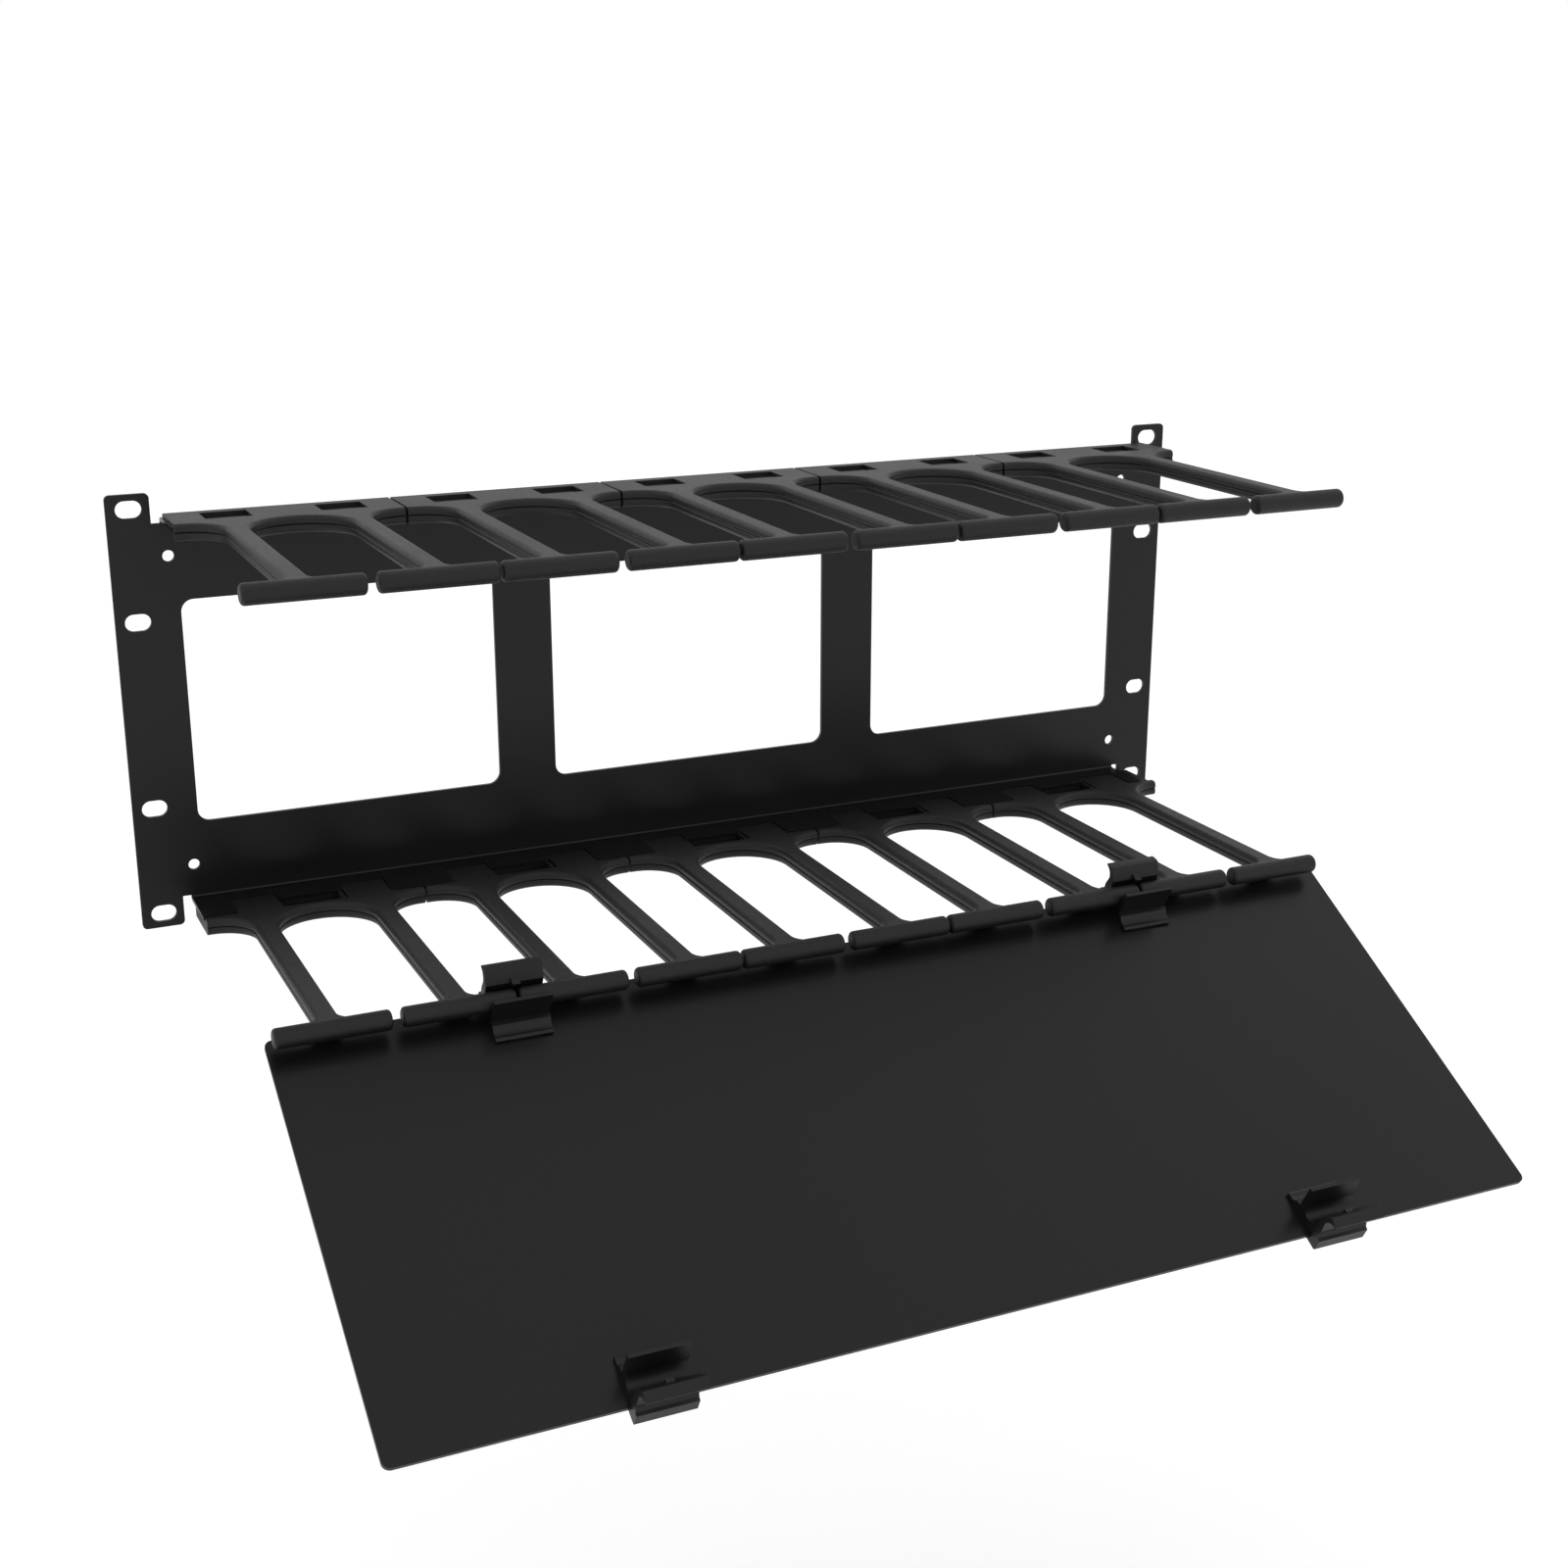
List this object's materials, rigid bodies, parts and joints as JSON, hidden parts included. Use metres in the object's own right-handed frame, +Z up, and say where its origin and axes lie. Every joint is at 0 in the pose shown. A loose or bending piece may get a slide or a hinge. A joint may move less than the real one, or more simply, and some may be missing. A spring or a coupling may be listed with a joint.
{
  "type": "horizontal cable manager",
  "caption": "Rack-mount horizontal cable manager: flanged panel with windows, T-ended finger modules above and below, and a hinged front cover that clips shut.",
  "frame": {"origin": "centre of the rack slot pattern, on the rear mounting face of the panel", "axes": "+X along the rack width, +Y into the rack, +Z up; the cover is at the front, towards -Y"},
  "size_m": [0.4826, 0.3008, 0.2626],
  "materials": {
    "panel_coat": "fine-textured matte black powder coat",
    "finger_plastic": "fine-grained matte black moulding",
    "cover_coat": "fine-textured matte black powder coat",
    "clip_plastic": "matte black moulding"
  },
  "bodies": {
    "frame": {"back_panel": "panel_coat", "upper_finger_module_1": "finger_plastic", "upper_finger_module_2": "finger_plastic", "upper_finger_module_3": "finger_plastic", "upper_finger_module_4": "finger_plastic", "upper_finger_module_5": "finger_plastic", "lower_finger_module_1": "finger_plastic", "lower_finger_module_2": "finger_plastic", "lower_finger_module_3": "finger_plastic", "lower_finger_module_4": "finger_plastic", "lower_finger_module_5": "finger_plastic"},
    "cover": {"cover": "cover_coat", "hinge_clip_left": "clip_plastic", "hinge_clip_right": "clip_plastic", "latch_clip_left": "clip_plastic", "latch_clip_right": "clip_plastic"}
  },
  "joints": [
    {"name": "cover_hinge", "type": "hinge", "parent": "frame", "child": "cover", "pos_m": [0, -0.1495, -0.08125], "axis": [-1, 0, 0], "range_deg": [0, 120]}
  ]
}
